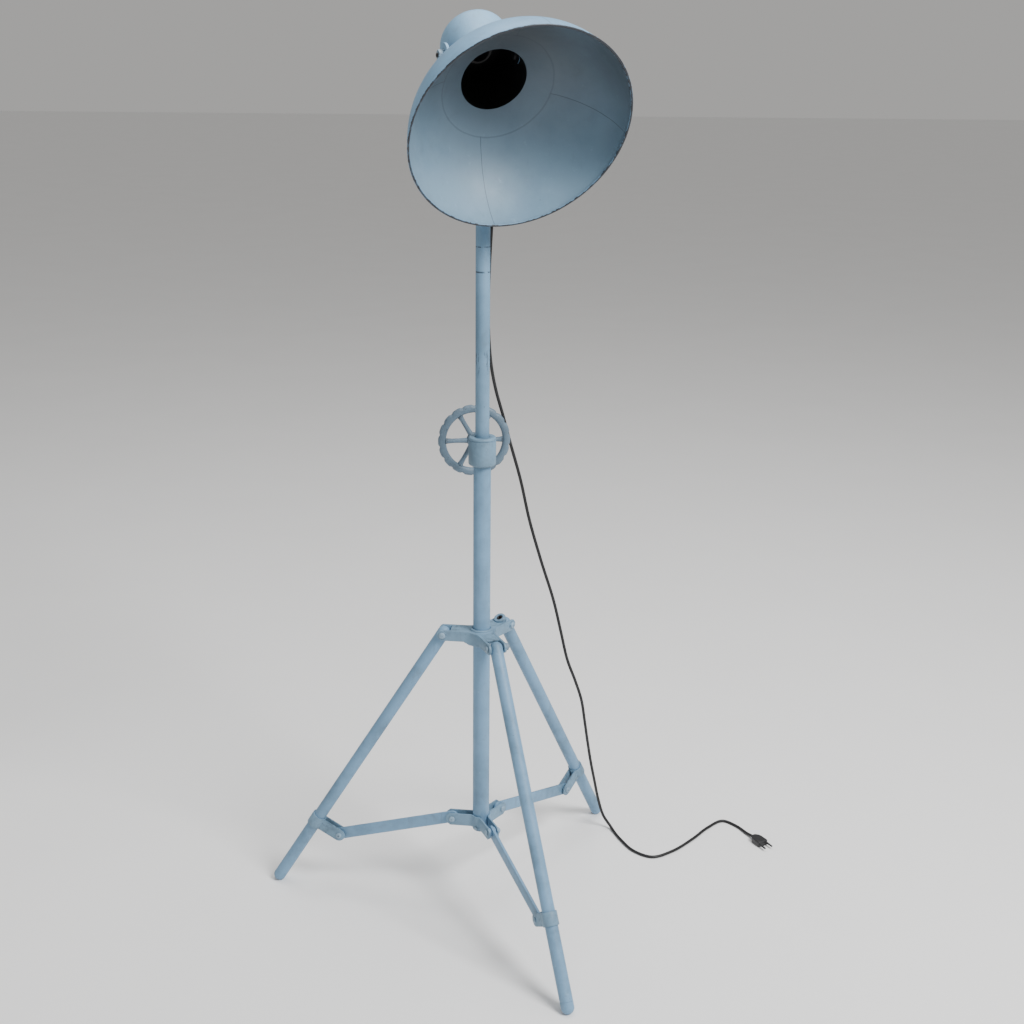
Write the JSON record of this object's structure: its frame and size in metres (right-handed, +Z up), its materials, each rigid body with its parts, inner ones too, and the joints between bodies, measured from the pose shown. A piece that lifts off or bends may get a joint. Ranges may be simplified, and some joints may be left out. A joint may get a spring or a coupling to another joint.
{
  "type": "tripod floor lamp",
  "caption": "Folding tripod floor lamp with a telescopic mast, handwheel clamp and a tilting bowl shade.",
  "frame": {"origin": "middle of the footprint box, on the floor", "axes": "+Z up along the mast, -Y towards the side that the shade faces, +X to the right seen from there"},
  "size_m": [1.0913, 0.7668, 1.7657],
  "materials": {
    "painted_tube": "aged satin pale blue-grey paint with scuffs",
    "painted_sheet": "aged satin pale blue-grey paint, chipped along the rim",
    "painted_casting": "thick aged blue-grey paint over a rough casting",
    "painted_fastener": "painted over, worn at the edges",
    "dark_steel": "blackened steel",
    "black_plastic": "black moulded plastic",
    "cord": "black flexible sheath"
  },
  "bodies": {
    "stand": {"mast_outer_tube": "painted_tube", "clamp_collar": "painted_casting", "mast_end_plug": "painted_casting", "lower_hub": "painted_casting", "tab_screw": "painted_fastener", "cord_drop": "cord", "plug": "black_plastic", "strut_pivot_bolt_front": "painted_fastener", "strut_pivot_nut_front": "painted_fastener", "strut_pivot_bolt_right": "painted_fastener", "strut_pivot_nut_right": "painted_fastener", "strut_pivot_bolt_left": "painted_fastener", "strut_pivot_nut_left": "painted_fastener"},
    "leg_hub": {"upper_hub": "painted_casting", "hub_lock_screw": "dark_steel", "leg_pivot_bolt_front": "painted_fastener", "leg_pivot_nut_front": "painted_fastener", "leg_pivot_bolt_right": "painted_fastener", "leg_pivot_nut_right": "painted_fastener", "leg_pivot_bolt_left": "painted_fastener", "leg_pivot_nut_left": "painted_fastener"},
    "wheel": {"handwheel": "painted_casting", "clamp_screw": "painted_fastener", "wheel_nut": "painted_fastener"},
    "lift_mast": {"mast_inner_tube": "painted_tube", "swivel_lock_screw": "painted_fastener", "cord_swivel": "cord"},
    "yoke": {"yoke": "painted_sheet"},
    "head": {"lamp_cap": "painted_sheet", "shade": "painted_sheet", "lampholder": "black_plastic", "holder_nipple": "dark_steel", "cord_gland": "black_plastic", "trunnion_bolt_left": "painted_fastener", "trunnion_bolt_right": "painted_fastener", "trunnion_nut_left": "painted_fastener", "trunnion_nut_right": "painted_fastener", "cord_lead": "cord"},
    "leg_front": {"leg_tube_front": "painted_tube", "foot_plug_front": "painted_tube", "leg_bracket_front": "painted_casting", "bracket_bolt_front": "painted_fastener", "bracket_nut_front": "painted_fastener"},
    "strut_front": {"strut_front": "painted_tube"},
    "leg_right": {"leg_tube_right": "painted_tube", "foot_plug_right": "painted_tube", "leg_bracket_right": "painted_casting", "bracket_bolt_right": "painted_fastener", "bracket_nut_right": "painted_fastener"},
    "strut_right": {"strut_right": "painted_tube"},
    "leg_left": {"leg_tube_left": "painted_tube", "foot_plug_left": "painted_tube", "leg_bracket_left": "painted_casting", "bracket_bolt_left": "painted_fastener", "bracket_nut_left": "painted_fastener"},
    "strut_left": {"strut_left": "painted_tube"}
  },
  "joints": [
    {"name": "hub_slide", "type": "slide", "parent": "stand", "child": "leg_hub", "axis": [0, 0, 1], "range_m": [-0.1368, 0]},
    {"name": "mast_lift", "type": "slide", "parent": "stand", "child": "lift_mast", "axis": [0, 0, 1], "range_m": [-0.3, 0.1], "deforming": ["cord_swivel", "cord_drop", "cord_lead"]},
    {"name": "clamp_turn", "type": "hinge", "parent": "stand", "child": "wheel", "pos_m": [0.06492, 0.13036, 0.9615], "axis": [-0.1564, 0.9877, 0], "range_deg": [-540, 0]},
    {"name": "head_swivel", "type": "hinge", "parent": "lift_mast", "child": "yoke", "pos_m": [0.08077, 0.03031, 1.5637], "axis": [0, 0, 1], "range_deg": [-170, 170], "deforming": ["cord_swivel", "cord_drop", "cord_lead"]},
    {"name": "head_tilt", "type": "hinge", "parent": "yoke", "child": "head", "pos_m": [0.0829, 0.0247, 1.689], "axis": [0.9351, 0.3545, 0], "range_deg": [-50, 0], "deforming": ["cord_swivel", "cord_drop", "cord_lead"]},
    {"name": "leg_fold_front", "type": "hinge", "parent": "leg_hub", "child": "leg_front", "pos_m": [0.10917, -0.04019, 0.59], "axis": [0.9276, 0.3736, 0], "range_deg": [0, 24.3]},
    {"name": "strut_fold_front", "type": "hinge", "parent": "stand", "child": "strut_front", "pos_m": [0.10281, -0.02442, 0.179], "axis": [0.9276, 0.3736, 0], "range_deg": [0, 69.5]},
    {"name": "leg_fold_right", "type": "hinge", "parent": "leg_hub", "child": "leg_right", "pos_m": [0.12762, 0.09015, 0.59], "axis": [-0.7874, 0.6165, 0], "range_deg": [0, 24.3]},
    {"name": "strut_fold_right", "type": "hinge", "parent": "stand", "child": "strut_right", "pos_m": [0.11714, 0.07676, 0.179], "axis": [-0.7874, 0.6165, 0], "range_deg": [0, 69.5]},
    {"name": "leg_fold_left", "type": "hinge", "parent": "leg_hub", "child": "leg_left", "pos_m": [0.00552, 0.04096, 0.59], "axis": [-0.1402, -0.9901, 0], "range_deg": [0, 24.3]},
    {"name": "strut_fold_left", "type": "hinge", "parent": "stand", "child": "strut_left", "pos_m": [0.02235, 0.03858, 0.179], "axis": [-0.1402, -0.9901, 0], "range_deg": [0, 69.5]}
  ],
  "couplings": [
    {"joint": "leg_fold_front", "follows": "hub_slide", "rad_per_m": -3.064},
    {"joint": "strut_fold_front", "follows": "hub_slide", "rad_per_m": -8.834},
    {"joint": "leg_fold_right", "follows": "hub_slide", "rad_per_m": -3.064},
    {"joint": "strut_fold_right", "follows": "hub_slide", "rad_per_m": -8.834},
    {"joint": "leg_fold_left", "follows": "hub_slide", "rad_per_m": -3.064},
    {"joint": "strut_fold_left", "follows": "hub_slide", "rad_per_m": -8.834}
  ]
}
